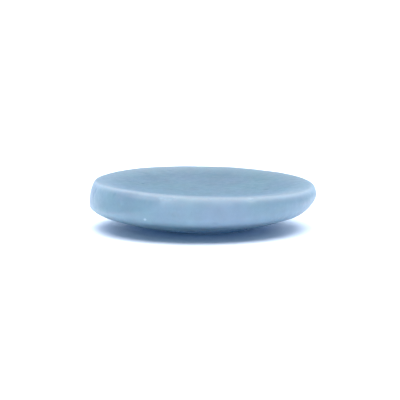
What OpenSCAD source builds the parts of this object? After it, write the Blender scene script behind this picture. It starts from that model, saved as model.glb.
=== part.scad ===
// Dished disc air stone for aquariums and small ponds.
// Millimetres, +Z up. The origin is the centre of the suction cup's lip, on the
// surface that the stone stands on. The hose nozzle points to +Y, the rear.

/* [Stone] */
// Width of the stone across its left and right edges
stone_w = 100; // [98:1:104]
// Height of the rim's crest above the floor, at the middle
rim_h = 20.4; // [20:0.1:20.8]
// Slope of the rim's plane in degrees, which lifts the left side
rim_slope = 1.5; // [0.5:0.25:2]
// Depth of the dish below the rim's crest
dish_depth = 4.5; // [4:0.25:4.75]
// Radius that rounds the rim's edge
edge_r = 2.3; // [1.8:0.1:2.8]
// Height of the wall's widest level
waist_z = 14.2; // [14:0.1:14.6]
// Radius of the wall's curve from its widest level up to the rim
wall_curve = 12; // [10:0.5:16]
// How far the turned form sits left of the base's axis
left_shift = 1.9; // [1.5:0.1:2.4]
// Radius of the upright flank that trims the left side
flank_r = 55; // [54:1:60]
// Radius of the flank's curve as it leans in towards the rim
flank_curve = 18; // [16:1:24]

/* [Underside] */
// Radius where the belly starts to rise
belly_start = 12; // [11:1:14]
// Radius of the belly's arc
belly_r = 84.5; // [82:0.5:87]
// Slope where the belly turns into the shoulder, in degrees
belly_slope = 22; // [21:1:23]
// Height of the belly's lowest point above the floor
belly_lift = 0.3; // [0.2:0.1:0.5]

/* [Air chamber] */
// Radius of the air chamber
chamber_r = 31; // [30.9:0.1:31.5]
// Thickness of the porous roof over the chamber, at the middle
roof_t = 4.2; // [4:0.1:4.4]
// Radius of the mouth that the base plate closes
mouth_r = 34; // [33.5:0.5:34.5]
// Height of the ledge that the gasket seats on
ledge_z = 6.6; // [6.4:0.1:6.8]

/* [Base plate] */
// Height of the plate's flat floor inside the chamber
floor_z = 4.4; // [4.2:0.1:4.6]
// Thickness of the flat gasket under the ledge
gasket_t = 1; // [0.8:0.1:1.1]
// Number of posts that hold the roof up
post_count = 6; // [6:3:9]
// Diameter of a post
post_d = 3; // [2.6:0.2:3.2]
// Thickness of the steel ballast ring
ballast_t = 2.5; // [2:0.25:3]

/* [Suction cup] */
// Radius of the cup's lip
lip_r = 20.6; // [19.5:0.1:21]
// Radius of the cup's neck
neck_r = 4; // [3.6:0.2:4.2]

/* [Hose nozzle] */
// Height of the nozzle's axis above the floor
nozzle_z = 12; // [11.8:0.1:12.2]
// Radius over the barb's ridges, for a 4 mm airline hose
barb_r = 2.6; // [2.5:0.05:2.8]
// Radius of the air passage
air_r = 1.1; // [0.9:0.1:1.3]
// Length of the barbed stem outside the flange
stem_l = 12.5; // [11.5:0.5:14]

/* [Hidden] */
$fn = 96;

STONE_BLUE = [0.59, 0.72, 0.83];
PLATE_BLUE = [0.40, 0.52, 0.64];
SEAL_GREY = [0.30, 0.32, 0.34];
EPOXY_BLUE = [0.52, 0.64, 0.74];
STEEL_GREY = [0.62, 0.64, 0.66];
CUP_PVC = [0.66, 0.76, 0.84];

// Outer form: a turned lens, its rim and dish, and the flank's wall. The lens is a
// little wider than the rim, whose upright wall trims it. The shoulder's arc starts a few
// degrees past the end of the belly's.
rim_r = stone_w / 2 + left_shift;
lens_margin = 0.8;
lens_r = rim_r + lens_margin;
wall_turn = asin((rim_h - waist_z - edge_r) / (wall_curve - edge_r));
crest_r = rim_r - wall_curve + (wall_curve - edge_r) * cos(wall_turn);
crown_r = 30;
dish_slope = 2 * atan(dish_depth / crest_r);
dish_r = crest_r / sin(dish_slope) - crown_r;
shoulder_r = (lens_r - belly_start - belly_r * sin(belly_slope)) / (1 - sin(belly_slope));
shoulder_c = [lens_r - shoulder_r,
              belly_lift + belly_r * (1 - cos(belly_slope)) + shoulder_r * cos(belly_slope)];
shoulder_skip = 6;
shoulder_start = shoulder_skip + belly_slope - 90;
flank_x = flank_r - stone_w / 2;
flank_waist_z = 12;
flank_top = rim_h + (stone_w / 2 - left_shift - edge_r) * sin(rim_slope);
flank_turn = asin((flank_top - flank_waist_z - edge_r) / (flank_curve - edge_r));

// How far a cutter runs past what it cuts, and how far joined forms run into each other
over = 5;
overlap = 1;
bite = 0.5;

// Base plate: a raised edge, a flat floor, and a web that rises to the cup's socket
gap = 0.2;
plate_r = mouth_r - gap;
edge_w = 3.2;
edge_z = ledge_z - gasket_t;
bead_w = 1.2;
recess_r = 22;
recess_z = 2;
web_r = 8.5;
web_z = 4.6;
web_t = 1.6;
web_slope = (web_z - recess_z) / (recess_r - web_r);
socket_r = 6;
socket_t = 1;
socket_z = 9.3;
rib_t = 1.2;
rib_r = 16;
rib_z = 8;
rib_toe = 0.6;
post_ring_r = 25;

// Ballast ring and the nuts on its posts
ballast_in_r = 20.5;
ballast_out_r = 29.5;
nut_r = 3.8;
nut_t = 0.6;
nut_slot = 0.5;
nut_slot_l = post_d + 2;

// Suction cup
lip_flat = 3;
lip_t = 0.8;
hollow_z = 2.4;
shoulder_z = web_z - 0.05;
cup_shoulder_r = 7;
skirt_r = 10;
skirt_z = shoulder_z - 0.8;
head_r = 5.5;
head_under_z = web_z + web_t + 0.1;
head_side_z = 7.6;
head_z = 9;
head_taper = 1.4;

// Hose nozzle, along +Y
bore_r = 3.2;
bore_reach = 2;
seat_y = 44;
seat_r = 4.1;
washer_t = 1;
nozzle_flange_r = 3.8;
nozzle_flange_t = 1.6;
tail_r = 3;
tail_y = 31.5;
stem_y = seat_y + washer_t + nozzle_flange_t;
shank_r = 1.9;
ridge_count = 3;
ridge_land = 0.6;
ridge_taper = 2.3;
ridge_gap = 0.3;
ridge_pitch = ridge_land + ridge_taper + ridge_gap;

// Points along an arc, from angle a0 to a1
function arc(centre, r, a0, a1, steps) =
    [for (i = [0:steps]) let (a = a0 + (a1 - a0) * i / steps) centre + r * [cos(a), sin(a)]];

// Height of the dish's surface at a distance from the middle
function dish_z(r) = rim_h - dish_depth + dish_r - sqrt(pow(dish_r, 2) - pow(r, 2));

// One barb ridge: a step, a short land, then a taper towards the tip
function ridge(y) = [[shank_r, y], [barb_r, y], [barb_r, y + ridge_land],
                     [shank_r, y + ridge_land + ridge_taper]];

// A wall that curves in from its widest level, then turns over an edge to its top
function wall(r, waist, curve, turn) = concat(
    arc([r - curve, waist], curve, 0, turn, 6),
    arc([r - curve, waist] + (curve - edge_r) * [cos(turn), sin(turn)], edge_r, turn, 90, 8)
);

module ring(r_in, r_out, z0, z1) {
    translate([0, 0, z0])
        difference() {
            cylinder(h = z1 - z0, r = r_out);
            translate([0, 0, -over]) cylinder(h = z1 - z0 + 2 * over, r = r_in);
        }
}

// Places its children with their +Z on the nozzle's axis, starting at the middle
module on_nozzle_axis() {
    translate([0, 0, nozzle_z])
        rotate([-90, 0, 0])
            children();
}

// Copies its children to evenly spaced places around the ring of posts
module at_posts(count) {
    for (i = [0:count - 1])
        rotate([0, 0, 360 * i / count])
            translate([post_ring_r, 0, 0])
                children();
}

// The turned lens: flat middle, belly and shoulder, with no top
module lens_form() {
    translate([-left_shift, 0, 0])
        rotate_extrude()
            polygon(concat(
                [[0, belly_lift]],
                arc([belly_start, belly_lift + belly_r], belly_r, -90, belly_slope - 90, 8),
                arc(shoulder_c, shoulder_r, shoulder_start, 0, 12),
                [[lens_r, rim_h + over], [0, rim_h + over]]
            ));
}

// The rounded rim and the dish, sloping up to the left, as a solid that goes below the belly
module rim_form() {
    translate([-left_shift, 0, rim_h])
        rotate([0, rim_slope, 0])
            rotate_extrude()
                polygon(concat(
                    [[0, -rim_h - over], [rim_r, -rim_h - over]],
                    wall(rim_r, waist_z - rim_h, wall_curve, wall_turn),
                    arc([crest_r, -crown_r], crown_r, 90, 90 + dish_slope, 4),
                    arc([0, dish_r - dish_depth], dish_r, dish_slope - 90, -90, 10)
                ));
}

// The upright wall of larger radius that squares off the left side
module flank_form() {
    translate([flank_x, 0, 0])
        rotate_extrude()
            polygon(concat(
                [[0, -over], [flank_r, -over]],
                wall(flank_r, flank_waist_z, flank_curve, flank_turn),
                [[0, flank_top]]
            ));
}

// The air chamber, whose roof runs parallel to the dish
module chamber() {
    rotate_extrude()
        polygon(concat(
            [[0, ledge_z - overlap], [chamber_r, ledge_z - overlap]],
            [for (i = [6:-1:0]) let (r = chamber_r * i / 6) [r, dish_z(r) - roof_t]]
        ));
}

// Through the rear wall: the nozzle's bore, and the seat sunk for its flange
module nozzle_hole() {
    on_nozzle_axis() {
        translate([0, 0, chamber_r - bore_reach]) cylinder(h = stone_w, r = bore_r);
        translate([0, 0, seat_y]) cylinder(h = stone_w, r = seat_r);
    }
}

module diffuser_stone() {
    color(STONE_BLUE)
        difference() {
            intersection() {
                lens_form();
                rim_form();
                flank_form();
            }
            chamber();
            translate([0, 0, -over]) cylinder(h = ledge_z + over, r = mouth_r);
            nozzle_hole();
        }
}

// The base plate before its belly is trimmed to the lens
module plate_blank() {
    rotate_extrude()
        polygon([
            [0, 0], [plate_r, 0], [plate_r, edge_z],
            [plate_r - edge_w, edge_z], [plate_r - edge_w, floor_z],
            [recess_r - (floor_z - web_t - recess_z) / web_slope, floor_z],
            [web_r, web_z + web_t], [socket_r + socket_t, web_z + web_t],
            [socket_r + socket_t, socket_z + socket_t], [0, socket_z + socket_t]
        ]);
}

// The shallow cone over the suction cup, with the hole and socket for its head
module cup_recess() {
    rotate_extrude()
        polygon([
            [0, -over], [recess_r, -over], [recess_r, recess_z], [web_r, web_z],
            [neck_r + gap, web_z], [neck_r + gap, web_z + web_t],
            [socket_r, web_z + web_t], [socket_r, socket_z], [0, socket_z]
        ]);
}

module roof_posts() {
    at_posts(post_count)
        translate([0, 0, floor_z - overlap])
            cylinder(h = dish_z(post_ring_r - post_d / 2) - roof_t - floor_z + overlap, d = post_d);
}

// Upright ribs that brace the socket
module socket_ribs() {
    for (i = [0:post_count - 1])
        rotate([90, 0, 360 * (i + 0.5) / post_count])
            linear_extrude(rib_t, center = true)
                polygon([[socket_r + bite, web_z + bite], [rib_r, floor_z - bite],
                         [rib_r, floor_z + rib_toe], [socket_r + bite, rib_z]]);
}

module base_plate() {
    color(PLATE_BLUE)
        difference() {
            union() {
                intersection() {
                    lens_form();
                    plate_blank();
                }
                roof_posts();
                socket_ribs();
            }
            cup_recess();
            ring(plate_r - bead_w, plate_r + over, -over, edge_z - bead_w);
        }
}

module plate_gasket() {
    color(SEAL_GREY)
        ring(chamber_r, plate_r, edge_z, ledge_z);
}

// Fills the groove between the base plate and the stone, flush with the belly
module bond_bead() {
    color(EPOXY_BLUE)
        intersection() {
            lens_form();
            ring(plate_r - bead_w, mouth_r, -over, edge_z - bead_w);
        }
}

module ballast_ring() {
    color(STEEL_GREY)
        difference() {
            ring(ballast_in_r, ballast_out_r, floor_z, floor_z + ballast_t);
            at_posts(post_count) cylinder(h = rim_h, d = post_d + 2 * gap);
        }
}

// A push-on nut on one post, cut by slots that make its gripping prongs
module push_nut(index) {
    color(STEEL_GREY)
        rotate([0, 0, 120 * index])
            translate([post_ring_r, 0, floor_z + ballast_t])
                difference() {
                    cylinder(h = nut_t, r = nut_r);
                    translate([0, 0, -over]) cylinder(h = 2 * over, d = post_d);
                    for (a = [0, 90])
                        rotate([0, 0, a])
                            cube([nut_slot_l, nut_slot, 2 * over], center = true);
                }
}

module push_nut_1() {
    push_nut(0);
}

module push_nut_2() {
    push_nut(1);
}

module push_nut_3() {
    push_nut(2);
}

module hose_nozzle() {
    tip_y = stem_y + stem_l;
    first_ridge_y = tip_y - ridge_count * ridge_pitch;
    color(PLATE_BLUE)
        on_nozzle_axis()
            rotate_extrude()
                polygon([
                    [air_r, tail_y],
                    [tail_r, tail_y],
                    [tail_r, seat_y + washer_t],
                    [nozzle_flange_r, seat_y + washer_t],
                    [nozzle_flange_r, stem_y],
                    [shank_r, stem_y],
                    for (i = [0:ridge_count - 1], p = ridge(first_ridge_y + i * ridge_pitch)) p,
                    [shank_r, tip_y],
                    [air_r, tip_y]
                ]);
}

module nozzle_washer() {
    color(SEAL_GREY)
        on_nozzle_axis()
            ring(tail_r, nozzle_flange_r, seat_y, seat_y + washer_t);
}

// The epoxy sleeve that holds the nozzle's tail in its bore
module nozzle_bond() {
    color(EPOXY_BLUE)
        on_nozzle_axis()
            ring(tail_r, bore_r, tail_y + bite, seat_y);
}

// A shallow cup with a flat lip, and a mushroom head snapped into the plate's socket
module suction_cup() {
    hollow_edge = lip_r - lip_flat;
    hollow_r = (pow(hollow_edge, 2) + pow(hollow_z, 2)) / (2 * hollow_z);
    hollow_half = asin(hollow_edge / hollow_r);
    color(CUP_PVC)
        rotate_extrude()
            polygon(concat(
                arc([0, hollow_z - hollow_r], hollow_r, 90, 90 - hollow_half, 10),
                [[lip_r, 0], [lip_r, lip_t], [skirt_r, skirt_z]],
                [[cup_shoulder_r, shoulder_z], [neck_r, shoulder_z], [neck_r, head_under_z]],
                [[head_r, head_under_z], [head_r, head_side_z], [head_r - head_taper, head_z], [0, head_z]]
            ));
}

diffuser_stone();
base_plate();
plate_gasket();
bond_bead();
ballast_ring();
push_nut_1();
push_nut_2();
push_nut_3();
hose_nozzle();
nozzle_washer();
nozzle_bond();
suction_cup();
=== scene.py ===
"""Looks for the dished disc air stone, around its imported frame. Lengths are in metres."""

import math

import bpy
import numpy as np
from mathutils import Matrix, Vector, noise


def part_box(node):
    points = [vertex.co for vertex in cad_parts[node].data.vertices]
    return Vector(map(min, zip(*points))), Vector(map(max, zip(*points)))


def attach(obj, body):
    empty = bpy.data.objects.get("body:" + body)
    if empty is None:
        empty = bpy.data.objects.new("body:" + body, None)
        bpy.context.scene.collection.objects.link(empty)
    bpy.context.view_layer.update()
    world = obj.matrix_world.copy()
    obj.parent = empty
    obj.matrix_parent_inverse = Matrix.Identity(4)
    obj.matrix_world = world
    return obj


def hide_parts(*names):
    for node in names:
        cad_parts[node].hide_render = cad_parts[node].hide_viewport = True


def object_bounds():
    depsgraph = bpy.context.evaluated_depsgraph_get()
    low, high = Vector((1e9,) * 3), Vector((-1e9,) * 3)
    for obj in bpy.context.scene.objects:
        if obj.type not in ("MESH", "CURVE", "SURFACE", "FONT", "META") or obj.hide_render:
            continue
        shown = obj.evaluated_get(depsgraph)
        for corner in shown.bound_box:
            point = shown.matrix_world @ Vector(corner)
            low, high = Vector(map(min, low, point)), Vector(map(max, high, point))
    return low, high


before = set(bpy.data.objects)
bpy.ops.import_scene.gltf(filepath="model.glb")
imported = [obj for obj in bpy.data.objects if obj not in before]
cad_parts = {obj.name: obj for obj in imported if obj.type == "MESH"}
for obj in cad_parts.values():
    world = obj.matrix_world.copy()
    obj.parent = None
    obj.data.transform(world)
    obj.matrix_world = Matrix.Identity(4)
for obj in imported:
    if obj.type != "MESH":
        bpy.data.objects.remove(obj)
CAD_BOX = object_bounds()
MM = 0.001

# Camera: a long lens, 8 degrees above the floor, looking along +Y
CAMERA_ELEVATION = 8.3
CAMERA_LENS = 450.0
CAMERA_DISTANCE = 2.19
CAMERA_TARGET = Vector((-1.5, 0.0, 12.0)) * MM

# Lights: azimuth, elevation, spread and strength. On the object alone: an overhead key with
# one more to each side, a low frontal fill, and the floor's bounce from below.
KEY = (0.0, 88.0, 30.0, 1.1)
ARCH_LEFT = (-95.0, 58.0, 35.0, 0.8)
ARCH_RIGHT = (95.0, 58.0, 35.0, 0.6)
FILL = (2.0, 20.0, 90.0, 2.62)
BOUNCE = (10.0, -76.0, 60.0, 0.62)
BOUNCE_COLOUR = (0.75, 1.0, 1.25)
# On the floor alone: one from almost overhead, which casts the shadow, and one from behind
TOP = (180.0, 86.5, 80.0, 5.1)
BACK = (165.0, 22.0, 60.0, 1.7)
# On everything, from behind: these graze the rim and reach under the overhang
EDGE_LEFT = (-141.0, 28.0, 50.0, 1.0)
EDGE_RIGHT = (141.0, 28.0, 50.0, 1.0)
EDGE_COLOUR = (0.80, 0.92, 1.10)
# The surround is bluish near the horizon and dim above, with a thin white haze at the horizon
HORIZON_COLOUR = (0.47, 0.88, 1.36)
ZENITH_COLOUR = (0.30, 0.38, 0.46)
HORIZON_BAND = 0.40
HAZE_COLOUR = (1.1, 1.1, 1.1)
HAZE_BAND = 0.02
FLOOR_COLOUR = (0.82, 0.86, 0.95)
FLOOR_HALF = 100.0

# The stone's body: voxel in millimetres and smoothing passes, then the waves that moulding by
# hand leaves, as (size across, depth), and its dimples, whose radii are in millimetres
STONE_VOXEL, STONE_PASSES = 0.54, 34
TWIST = 0.75 * MM
WAVES = ((15.0 * MM, 0.14 * MM), (4.0 * MM, 0.05 * MM), (1.3 * MM, 0.02 * MM))
DIMPLE_COUNT, DIMPLE_SEED = 60, 5
DIMPLE_R = (0.8, 2.0)
DIMPLE_DEPTH = 0.12
# The brow: the front wall's foot stands forward between two heights, most in the middle one
BROW = 3.3 * MM
BROW_LOW, BROW_MID, BROW_TOP = 3.6 * MM, 8.1 * MM, 15.5 * MM
BROW_INNER, BROW_BLEND = 35 * MM, 8 * MM
# Marks on the front, outside a radius, at (x, z): one white speck, chips with their radii, and a band
# under the rim that is painted paler as a painted highlight
OUTER_R = 48.3 * MM
FLECK, FLECK_R = (-25.1 * MM, 10.0 * MM), 0.65 * MM
CHIPS = tuple((x * MM, z * MM, r * MM) for x, z, r in (
    (-18.2, 19.6, 1.2), (-16.4, 19.2, 0.9), (-14.3, 19.3, 1.6), (-12.6, 19.7, 1.0), (20.4, 19.1, 1.5)))
CHIP_DEPTH = 0.30 * MM
CHIP_FLATNESS = 1.5
# The chips' paleness is a painted glint where their dented facets catch the light
CHIP_GLINT = 0.35
# The band under the rim, its centre (x, z), length, height and strength: a painted highlight
HIGHLIGHT_BAND, HIGHLIGHT_BAND_LENGTH, HIGHLIGHT_BAND_HEIGHT = (-23.0 * MM, 19.5 * MM), 14.0 * MM, 1.7 * MM
HIGHLIGHT_BAND_STRENGTH = 0.6
# A pinhole in the dish, at (x, y), dented and painted darker: painted shade in the hole
PINHOLE, PINHOLE_R = (-26.4 * MM, 8.5 * MM), 0.8 * MM
# Painted highlight, standing in for light and not a mark of use: edges that stand out, all of it above
# RIM_LOW and a little of it below, and a pale zone on top that grows between two radii
EDGE_PASSES = 24
EDGE_FROM, EDGE_RANGE = 0.10 * MM, 0.30 * MM
RIM_LOW, RIM_BLEND = 15.0 * MM, 3.0 * MM
PALE_FROM, PALE_TO = 34.0 * MM, 49.0 * MM
PALE_HIGHLIGHT, PALE_GROWTH = 1.2, 1.5
LOW_HIGHLIGHT = 0.2
# A surface whose normal rises more than this faces up
FACES_UP = 0.8


# ---------------------------------------------------------------- camera, lights and floor

def add_camera():
    """Looks along +Y from the front, slightly from above."""
    data = bpy.data.cameras.new("camera")
    data.lens = CAMERA_LENS
    data.sensor_width = 36.0
    data.clip_start = 0.01
    data.clip_end = 1000.0
    camera = bpy.data.objects.new("camera", data)
    bpy.context.collection.objects.link(camera)
    tilt = math.radians(CAMERA_ELEVATION)
    back = Vector((0.0, -math.cos(tilt), math.sin(tilt)))
    camera.location = CAMERA_TARGET + CAMERA_DISTANCE * back
    camera.rotation_euler = (math.pi / 2 - tilt, 0.0, 0.0)
    bpy.context.scene.camera = camera


def add_sun(name, azimuth, elevation, spread, strength, colour=(1.0, 1.0, 1.0)):
    """A distant soft light. Azimuth 0 stands over the camera and 180 behind the object."""
    data = bpy.data.lights.new(name, "SUN")
    data.angle = math.radians(spread)
    data.energy = strength
    data.color = colour
    light = bpy.data.objects.new(name, data)
    bpy.context.collection.objects.link(light)
    a, e = math.radians(azimuth), math.radians(elevation)
    towards = Vector((math.sin(a) * math.cos(e), -math.cos(a) * math.cos(e), math.sin(e)))
    light.rotation_euler = towards.to_track_quat("Z", "Y").to_euler()
    return light


def limit_light(light, thing, state):
    """Light linking: the light reaches only thing (INCLUDE), or everything but thing (EXCLUDE)."""
    receivers = bpy.data.collections.new(light.name + "_receivers")
    receivers.objects.link(thing)
    receivers.collection_objects[0].light_linking.link_state = state
    light.light_linking.receiver_collection = receivers


def add_lights(floor):
    """The object's lights leave the floor out, and the floor's lights reach it alone."""
    for name, place in (("key", KEY), ("arch_left", ARCH_LEFT),
                        ("arch_right", ARCH_RIGHT), ("fill", FILL)):
        limit_light(add_sun(name, *place), floor, "EXCLUDE")
    bounce = add_sun("bounce", *BOUNCE, BOUNCE_COLOUR)
    limit_light(bounce, floor, "EXCLUDE")
    bounce.light_linking.blocker_collection = bounce.light_linking.receiver_collection
    limit_light(add_sun("top", *TOP), floor, "INCLUDE")
    limit_light(add_sun("back", *BACK), floor, "INCLUDE")
    add_sun("edge_left", *EDGE_LEFT, EDGE_COLOUR)
    add_sun("edge_right", *EDGE_RIGHT, EDGE_COLOUR)
    bpy.context.scene.view_settings.view_transform = "Standard"


def by_height(tree, height, band, low, high):
    """A colour that turns from low at the horizon to high, a colour or a socket, above a band."""
    rise = tree.nodes.new("ShaderNodeMapRange")
    rise.interpolation_type = "SMOOTHSTEP"
    rise.inputs["From Max"].default_value = band
    colour = tree.nodes.new("ShaderNodeMix")
    colour.data_type = "RGBA"
    below, above = [s for s in colour.inputs if s.type == "RGBA"]
    below.default_value = (*low, 1.0)
    if isinstance(high, bpy.types.NodeSocket):
        tree.links.new(high, above)
    else:
        above.default_value = (*high, 1.0)
    tree.links.new(height, rise.inputs["Value"])
    tree.links.new(rise.outputs["Result"], colour.inputs["Factor"])
    return next(s for s in colour.outputs if s.type == "RGBA")


def add_surround():
    """A plain studio surround: haze at the horizon, then a bluish band under a dim zenith."""
    world = bpy.data.worlds.new("studio")
    world.use_nodes = True
    tree = world.node_tree
    split = tree.nodes.new("ShaderNodeSeparateXYZ")
    tree.links.new(tree.nodes.new("ShaderNodeTexCoord").outputs["Generated"], split.inputs[0])
    height = split.outputs["Z"]
    sky = by_height(tree, height, HORIZON_BAND, HORIZON_COLOUR, ZENITH_COLOUR)
    hazy = by_height(tree, height, HAZE_BAND, HAZE_COLOUR, sky)
    tree.links.new(hazy, tree.nodes["Background"].inputs["Color"])
    bpy.context.scene.world = world


def add_floor():
    """A wide pale floor at the height of the suction cup's lip."""
    z = CAD_BOX[0][2]
    corners = [(x * FLOOR_HALF, y * FLOOR_HALF, z) for x, y in ((-1, -1), (1, -1), (1, 1), (-1, 1))]
    mesh = bpy.data.meshes.new("floor")
    mesh.from_pydata(corners, [], [(0, 1, 2, 3)])
    material = bpy.data.materials.new("floor_white")
    material.use_nodes = True
    shader = material.node_tree.nodes["Principled BSDF"]
    shader.inputs["Base Color"].default_value = (*FLOOR_COLOUR, 1.0)
    shader.inputs["Roughness"].default_value = 0.9
    mesh.materials.append(material)
    floor = bpy.data.objects.new("floor", mesh)
    bpy.context.collection.objects.link(floor)
    return floor


# ---------------------------------------------------------------- node helpers

class Recipe:
    """One procedural material, built on the object's own coordinates."""

    def __init__(self, name):
        self.material = bpy.data.materials.new(name)
        self.material.use_nodes = True
        self.tree = self.material.node_tree
        self.shader = self.tree.nodes["Principled BSDF"]
        self.place = self.tree.nodes.new("ShaderNodeTexCoord").outputs["Object"]

    def set(self, **values):
        """Plain values or sockets for the shader's inputs, with _ for a space in their names."""
        for name, value in values.items():
            self.feed(self.shader.inputs[name.replace("_", " ")], value)
        return self

    def feed(self, target, value):
        if isinstance(value, bpy.types.NodeSocket):
            self.tree.links.new(value, target)
        elif target.type == "RGBA" and len(value) == 3:
            target.default_value = (*value, 1.0)
        else:
            target.default_value = value

    def noise(self, size, detail=3.0, roughness=0.5, stretch=(1.0, 1.0, 1.0), shift=0.0):
        """Cloudy values around 0.5, in patches about size across."""
        mapping = self.tree.nodes.new("ShaderNodeMapping")
        mapping.inputs["Scale"].default_value = stretch
        mapping.inputs["Location"].default_value = (shift, shift, shift)
        self.feed(mapping.inputs["Vector"], self.place)
        node = self.tree.nodes.new("ShaderNodeTexNoise")
        self.feed(node.inputs["Vector"], mapping.outputs["Vector"])
        node.inputs["Scale"].default_value = 1.0 / size
        node.inputs["Detail"].default_value = detail
        node.inputs["Roughness"].default_value = roughness
        return node.outputs["Fac"]

    def specks(self, spacing, radius, share, shift=0.0):
        """1 inside small round specks, 0 elsewhere: a share of a random pattern's cells holds one."""
        mapping = self.tree.nodes.new("ShaderNodeMapping")
        mapping.inputs["Location"].default_value = (shift, shift, shift)
        self.feed(mapping.inputs["Vector"], self.place)
        cells = self.tree.nodes.new("ShaderNodeTexVoronoi")
        self.feed(cells.inputs["Vector"], mapping.outputs["Vector"])
        cells.inputs["Scale"].default_value = 1.0 / spacing
        near = self.ramp(cells.outputs["Distance"], radius / spacing, 0.5 * radius / spacing)
        split = self.tree.nodes.new("ShaderNodeSeparateColor")
        self.feed(split.inputs["Color"], cells.outputs["Color"])
        chosen = self.ramp(split.outputs["Red"], 1.0 - share, 1.0 - 0.9 * share)
        return self.maths("MULTIPLY", near, chosen)

    def attribute(self, name):
        node = self.tree.nodes.new("ShaderNodeAttribute")
        node.attribute_name = name
        return node.outputs["Fac"]

    def ramp(self, value, low, high, out_low=0.0, out_high=1.0):
        """Maps value from low..high to out_low..out_high, clamped."""
        node = self.tree.nodes.new("ShaderNodeMapRange")
        for name, item in (("Value", value), ("From Min", low), ("From Max", high),
                           ("To Min", out_low), ("To Max", out_high)):
            self.feed(node.inputs[name], item)
        return node.outputs["Result"]

    def maths(self, operation, a, b):
        node = self.tree.nodes.new("ShaderNodeMath")
        node.operation = operation
        self.feed(node.inputs[0], a)
        self.feed(node.inputs[1], b)
        return node.outputs[0]

    def mix(self, share, first, second, blend="MIX"):
        node = self.tree.nodes.new("ShaderNodeMix")
        node.data_type = "RGBA"
        node.blend_type = blend
        factor = next(s for s in node.inputs if s.name == "Factor" and s.type == "VALUE")
        colours = [s for s in node.inputs if s.type == "RGBA"]
        self.feed(factor, share)
        self.feed(colours[0], first)
        self.feed(colours[1], second)
        return next(s for s in node.outputs if s.type == "RGBA")

    def shade(self, colour, value, depth):
        """Colour made darker and lighter by a cloudy value: depth is the whole swing at 0 and 1."""
        level = self.ramp(value, 0.25, 0.75, 1.0 - depth, 1.0 + depth)
        grey = self.tree.nodes.new("ShaderNodeCombineColor")
        for channel in ("Red", "Green", "Blue"):
            self.feed(grey.inputs[channel], level)
        return self.mix(1.0, colour, grey.outputs["Color"], "MULTIPLY")

    def bump(self, *layers):
        """Raises the surface by layers of (height value, depth in metres)."""
        normal = None
        for height, depth in layers:
            node = self.tree.nodes.new("ShaderNodeBump")
            node.inputs["Distance"].default_value = depth
            self.feed(node.inputs["Height"], height)
            if normal is not None:
                self.feed(node.inputs["Normal"], normal)
            normal = node.outputs["Normal"]
        self.set(Normal=normal)


# ---------------------------------------------------------------- materials

def mineral():
    """Satin, pale blue bonded mineral: cloudy patches, fine grain and white flecks; pores and pinholes
    painted darker as painted shade, chips with a painted glint, and a painted highlight on the rim.
    """
    r = Recipe("bonded_mineral")
    patches = r.ramp(r.noise(17.0 * MM), 0.35, 0.65)
    colour = r.mix(patches, (0.138, 0.224, 0.270), (0.148, 0.213, 0.280))
    colour = r.shade(colour, r.noise(8.0 * MM, shift=0.3), 0.09)
    colour = r.shade(colour, r.noise(1.1 * MM, detail=4.0, shift=0.7), 0.03)
    # Painted highlight: the rim's edges, the top's outer zone and the band under the rim are painted
    # paler, standing in for light
    colour = r.mix(r.maths("MULTIPLY", r.attribute("wear_and_painted_highlight"), 0.55), colour, (0.36, 0.42, 0.48))
    # White flecks are the mineral's own; the chips in the same attribute carry a painted glint
    flecks = r.maths("MAXIMUM", r.specks(3.5 * MM, 0.28 * MM, 0.22), r.attribute("fleck_and_chip_glint"))
    colour = r.mix(r.maths("MULTIPLY", flecks, 0.5), colour, (0.55, 0.64, 0.72))
    # Pores and the pinhole painted darker: painted shade inside the holes
    pores = r.specks(2.2 * MM, 0.16 * MM, 0.4, shift=0.5)
    painted_pit_shade = r.maths("MAXIMUM", r.maths("MULTIPLY", pores, 0.5), r.attribute("painted_pinhole_shade"))
    colour = r.mix(r.maths("MULTIPLY", painted_pit_shade, 0.6), colour, (0.05, 0.09, 0.15))
    r.set(
        Base_Color=colour,
        Roughness=r.ramp(r.noise(2.5 * MM, shift=0.9), 0.3, 0.7, 0.33, 0.45),
        Subsurface_Weight=0.2,
        Subsurface_Scale=2.0 * MM,
        Specular_IOR_Level=0.42,
    )
    r.bump((r.noise(0.6 * MM, detail=4.0, roughness=0.6), 0.05 * MM),
           (r.noise(2.6 * MM, shift=0.2), 0.10 * MM),
           (r.maths("SUBTRACT", 1.0, pores), 0.08 * MM))
    return r.material


def moulded_plastic(name, colour, gloss):
    """Injection-moulded ABS: even colour, faint flow marks, a fine spark texture and light scuffs."""
    r = Recipe(name)
    shade = r.shade(colour, r.noise(9.0 * MM, stretch=(1.0, 1.0, 0.4)), 0.08)
    scuffs = r.ramp(r.noise(1.4 * MM, detail=5.0, stretch=(1.0, 6.0, 1.0), shift=0.4), 0.60, 0.72)
    pale = tuple(min(1.0, 1.6 * c + 0.03) for c in colour)
    shade = r.mix(r.maths("MULTIPLY", scuffs, 0.25), shade, pale)
    rough = r.ramp(r.noise(4.0 * MM, shift=0.6), 0.3, 0.7, gloss - 0.06, gloss + 0.08)
    r.set(Base_Color=shade, Roughness=r.maths("ADD", rough, r.maths("MULTIPLY", scuffs, 0.15)))
    r.bump((r.noise(0.22 * MM, detail=2.0), 0.012 * MM), (r.noise(6.0 * MM), 0.06 * MM))
    return r.material


def soft_pvc():
    """Tinted soft PVC: smooth and shiny, cloudy inside, with dust marks."""
    r = Recipe("soft_pvc")
    colour = r.shade((0.08, 0.18, 0.30), r.noise(8.0 * MM), 0.10)
    dust = r.ramp(r.noise(1.8 * MM, detail=5.0, shift=0.3), 0.58, 0.75)
    colour = r.mix(r.maths("MULTIPLY", dust, 0.2), colour, (0.30, 0.38, 0.45))
    r.set(Base_Color=colour, Roughness=r.ramp(dust, 0.0, 1.0, 0.24, 0.5),
          Subsurface_Weight=0.25, Subsurface_Scale=2.0 * MM, Coat_Weight=0.15)
    r.bump((r.noise(3.0 * MM, shift=0.8), 0.05 * MM))
    return r.material


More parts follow.
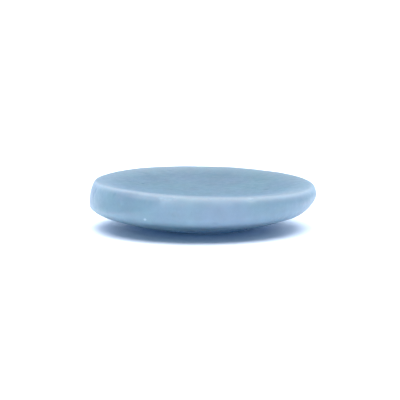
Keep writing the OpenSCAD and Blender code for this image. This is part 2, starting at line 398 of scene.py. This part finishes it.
def epoxy():
    """Cured blue-grey epoxy: glossy and uneven, with tiny trapped bubbles."""
    r = Recipe("cured_epoxy")
    colour = r.shade((0.10, 0.18, 0.26), r.noise(5.0 * MM), 0.15)
    bubbles = r.specks(1.1 * MM, 0.22 * MM, 0.5)
    colour = r.mix(r.maths("MULTIPLY", bubbles, 0.5), colour, (0.30, 0.40, 0.48))
    r.set(Base_Color=colour, Roughness=r.ramp(r.noise(2.0 * MM), 0.3, 0.7, 0.14, 0.3),
          Subsurface_Weight=0.15, Subsurface_Scale=1.0 * MM)
    r.bump((r.noise(1.6 * MM, shift=0.5), 0.08 * MM), (bubbles, 0.03 * MM))
    return r.material


def silicone():
    """Dark grey silicone rubber: matt, with a faint bloom."""
    r = Recipe("silicone")
    bloom = r.ramp(r.noise(2.4 * MM, detail=5.0), 0.5, 0.75)
    colour = r.mix(r.maths("MULTIPLY", bloom, 0.3), (0.035, 0.038, 0.042), (0.09, 0.10, 0.11))
    r.set(Base_Color=colour, Roughness=r.ramp(bloom, 0.0, 1.0, 0.55, 0.75))
    r.bump((r.noise(0.3 * MM), 0.01 * MM))
    return r.material


def coated_steel():
    """Charcoal powder coat over steel: orange peel, and bare metal where edges rub."""
    r = Recipe("coated_steel")
    peel = r.noise(0.8 * MM, detail=1.0)
    patchy = r.ramp(r.noise(0.9 * MM, detail=5.0), 0.45, 0.6)
    # On the ring this attribute is real edge abrasion, which bares the metal; on the stone it is
    # painted highlight
    rubbed = r.maths("MULTIPLY", r.attribute("wear_and_painted_highlight"), patchy)
    colour = r.shade((0.035, 0.040, 0.046), r.noise(6.0 * MM, shift=0.2), 0.12)
    r.set(Base_Color=r.mix(rubbed, colour, (0.45, 0.45, 0.46)), Metallic=rubbed,
          Roughness=r.ramp(rubbed, 0.0, 1.0, 0.45, 0.32))
    r.bump((peel, 0.03 * MM))
    return r.material


def spring_steel():
    """Stamped spring steel with fine rolling lines and a faint straw tint."""
    r = Recipe("spring_steel")
    lines = r.noise(0.5 * MM, detail=3.0, stretch=(0.06, 1.0, 1.0))
    colour = r.mix(r.ramp(r.noise(4.0 * MM), 0.4, 0.7), (0.56, 0.57, 0.58), (0.58, 0.52, 0.42))
    r.set(Base_Color=r.shade(colour, lines, 0.08), Metallic=1.0,
          Roughness=r.ramp(lines, 0.3, 0.7, 0.24, 0.40))
    r.bump((lines, 0.006 * MM))
    return r.material


# ---------------------------------------------------------------- mesh helpers

def points_of(mesh):
    values = np.empty(len(mesh.vertices) * 3)
    mesh.vertices.foreach_get("co", values)
    return values.reshape(-1, 3)


def normals_of(mesh):
    values = np.empty(len(mesh.vertices) * 3)
    mesh.vertices.foreach_get("normal", values)
    return values.reshape(-1, 3)


def set_points(mesh, points):
    mesh.vertices.foreach_set("co", points.ravel())
    mesh.update()


def store(mesh, name, values):
    """Keeps one number per vertex for the material."""
    layer = mesh.attributes.new(name, "FLOAT", "POINT")
    layer.data.foreach_set("value", np.asarray(values, dtype=np.float32))


def wave(points, size, shift=0.0):
    """Smooth noise from -1 to 1 at each point, in swells about size across."""
    return np.array([noise.noise(Vector(p) / size + Vector((shift, shift, shift))) for p in points])


def convexity(mesh, passes):
    """How far each vertex stands out from its averaged surroundings, in metres."""
    points = points_of(mesh)
    ends = np.empty(len(mesh.edges) * 2, dtype=np.int32)
    mesh.edges.foreach_get("vertices", ends)
    first, second = ends[0::2], ends[1::2]
    count = len(points)
    degree = np.bincount(ends, minlength=count)
    average = points.copy()
    for _ in range(passes):
        average = np.stack([
            np.bincount(first, average[second, axis], count)
            + np.bincount(second, average[first, axis], count)
            for axis in range(3)
        ], axis=1) / degree[:, None]
    return ((points - average) * normals_of(mesh)).sum(axis=1)


def softened(node, name, voxel, passes):
    """A copy of a CAD node, its edges eased as moulding leaves them. The voxel is in millimetres."""
    draft = bpy.data.objects.new("draft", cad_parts[node].data.copy())
    bpy.context.collection.objects.link(draft)
    remesh = draft.modifiers.new("remesh", "REMESH")
    remesh.mode = "VOXEL"
    remesh.voxel_size = voxel * MM
    smooth = draft.modifiers.new("smooth", "SMOOTH")
    smooth.factor = 0.5
    smooth.iterations = passes
    graph = bpy.context.evaluated_depsgraph_get()
    mesh = bpy.data.meshes.new_from_object(draft.evaluated_get(graph))
    bpy.data.objects.remove(draft)
    mesh.name = name
    mesh.materials.clear()
    mesh.shade_smooth()
    piece = bpy.data.objects.new(name, mesh)
    bpy.context.collection.objects.link(piece)
    return piece


def fit_out(piece, node, material):
    """Gives a finished piece its material and its place in the frame."""
    piece.data.materials.append(material)
    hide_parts(node)
    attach(piece, "root")


# ---------------------------------------------------------------- pieces

def spot(across, along, radius):
    """1 in the middle of a round spot, falling to 0 at its edge."""
    return np.clip(1.0 - (across ** 2 + along ** 2) / radius ** 2, 0.0, 1.0)


def eased(share):
    """A share from 0 to 1 with its ends eased."""
    return share * share * (3 - 2 * share)


def dimples(points):
    """Depth of a scatter of shallow moulding dimples over the whole surface."""
    pick = np.random.default_rng(DIMPLE_SEED)
    depth = np.zeros(len(points))
    for centre in pick.choice(len(points), DIMPLE_COUNT, replace=False):
        radius = pick.uniform(*DIMPLE_R) * MM
        away = np.linalg.norm(points - points[centre], axis=1) / radius
        depth = np.maximum(depth, DIMPLE_DEPTH * radius * np.clip(1.0 - away ** 2, 0.0, 1.0))
    return depth


def front_marks(points):
    """Masks of the marks on the front: the white speck, the chips, and the band under the rim that
    carries a painted highlight.
    """
    x, z = points[:, 0], points[:, 2]
    front = (points[:, 1] < 0) & (np.hypot(x, points[:, 1]) > OUTER_R)
    fleck_and_chip_glint = spot(x - FLECK[0], z - FLECK[1], FLECK_R) * front
    chips = np.zeros(len(points))
    for chip_x, chip_z, radius in CHIPS:
        chips = np.maximum(chips, spot(x - chip_x, CHIP_FLATNESS * (z - chip_z), radius) * front)
    # The band under the rim: a painted highlight
    painted_band = spot(x - HIGHLIGHT_BAND[0], (z - HIGHLIGHT_BAND[1]) * HIGHLIGHT_BAND_LENGTH / HIGHLIGHT_BAND_HEIGHT, HIGHLIGHT_BAND_LENGTH) * front
    return fleck_and_chip_glint, chips, painted_band


def brow(points):
    """How far forward the front wall's foot stands out, over a tighter turn to the belly."""
    z = points[:, 2]
    rise = np.clip((z - BROW_LOW) / (BROW_MID - BROW_LOW), 0.0, 1.0)
    fall = np.clip((BROW_TOP - z) / (BROW_TOP - BROW_MID), 0.0, 1.0)
    reach = np.hypot(points[:, 0], points[:, 1])
    outside = np.clip((reach - BROW_INNER) / BROW_BLEND, 0.0, 1.0)
    frontal = np.clip(-points[:, 1] / reach.max(), 0.0, 1.0) ** 0.5
    return BROW * eased(rise) * eased(fall) * outside * frontal


def painted_rim_highlight(mesh, points, faces_up, painted_band):
    """How pale each vertex is painted, a painted highlight standing in for light: the rim's edge, the
    top's outer zone, and the band under the rim.
    """
    edges = np.clip((convexity(mesh, EDGE_PASSES) - EDGE_FROM) / EDGE_RANGE, 0.0, 1.0)
    edges *= np.clip((points[:, 2] - RIM_LOW) / RIM_BLEND, LOW_HIGHLIGHT, 1.0)
    reach = np.hypot(points[:, 0], points[:, 1])
    zone = PALE_HIGHLIGHT * np.clip((reach - PALE_FROM) / (PALE_TO - PALE_FROM), 0.0, 1.0) ** PALE_GROWTH
    return np.maximum(np.maximum(edges, zone * faces_up), HIGHLIGHT_BAND_STRENGTH * painted_band)


def stone_body():
    """The mineral body: softened, swelled and dimpled, with its brow, its twist and its marks."""
    stone = softened("diffuser_stone", "stone_body", STONE_VOXEL, STONE_PASSES)
    mesh = stone.data
    points = points_of(mesh)
    normals = normals_of(mesh)
    low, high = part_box("diffuser_stone")
    half = (high[0] - low[0]) / 2
    lift = np.clip((points[:, 2] - low[2]) / (high[2] - low[2]), 0.0, 1.0)
    twist = TWIST * points[:, 0] * points[:, 1] / half ** 2 * lift
    swell = sum(depth * wave(points, size, 3.0 * i) for i, (size, depth) in enumerate(WAVES))
    fleck_and_chip_glint, chips, painted_band = front_marks(points)
    pinhole = spot(points[:, 0] - PINHOLE[0], points[:, 1] - PINHOLE[1], PINHOLE_R)
    faces_up = normals[:, 2] > FACES_UP
    pinhole = pinhole * faces_up
    sunk = dimples(points) + CHIP_DEPTH * chips + PINHOLE_R * 0.5 * pinhole
    points = points + normals * (swell - sunk)[:, None]
    points[:, 1] -= brow(points)
    points[:, 2] += twist
    set_points(mesh, points)
    # Painted highlight on the rim's edges, the top's outer zone and the band under the rim
    store(mesh, "wear_and_painted_highlight", painted_rim_highlight(mesh, points, faces_up, painted_band))
    # The white speck, with the chips' painted glint
    store(mesh, "fleck_and_chip_glint", np.maximum(fleck_and_chip_glint, CHIP_GLINT * chips))
    # The pinhole's painted shade
    store(mesh, "painted_pinhole_shade", pinhole)
    fit_out(stone, "diffuser_stone", mineral())


def plain_pieces():
    """The moulded, glued and metal pieces, each softened by its own amount."""
    plastic = moulded_plastic("moulded_plate", (0.10, 0.20, 0.33), 0.42)
    nozzle = moulded_plastic("moulded_nozzle", (0.10, 0.20, 0.33), 0.30)
    rubber = silicone()
    glue = epoxy()
    spring = spring_steel()
    for node, name, slot, voxel, passes, material in (
        ("base_plate", "moulded_base", "moulded_plate", 0.34, 3, plastic),
        ("suction_cup", "cup_soft", "cup_pvc", 0.24, 4, soft_pvc()),
        ("bond_bead", "epoxy_bead", "epoxy", 0.16, 4, glue),
        ("nozzle_bond", "epoxy_sleeve", "epoxy", 0.12, 2, glue),
        ("plate_gasket", "gasket_ring", "seal", 0.22, 2, rubber),
        ("nozzle_washer", "washer_ring", "seal", 0.10, 2, rubber),
        ("ballast_ring", "steel_ring", "coated_steel", 0.30, 3, coated_steel()),
        ("push_nut_1", "spring_nut_1", "spring_steel", 0.08, 2, spring),
        ("push_nut_2", "spring_nut_2", "spring_steel", 0.08, 2, spring),
        ("push_nut_3", "spring_nut_3", "spring_steel", 0.08, 2, spring),
        ("hose_nozzle", "barbed_nozzle", "moulded_nozzle", 0.12, 2, nozzle),
    ):
        piece = softened(node, name, voxel, passes)
        store(piece.data, "wear_and_painted_highlight", np.clip(convexity(piece.data, 8) / (0.4 * voxel * MM), 0.0, 1.0))
        fit_out(piece, node, material)


add_camera()
add_lights(add_floor())
add_surround()
stone_body()
plain_pieces()
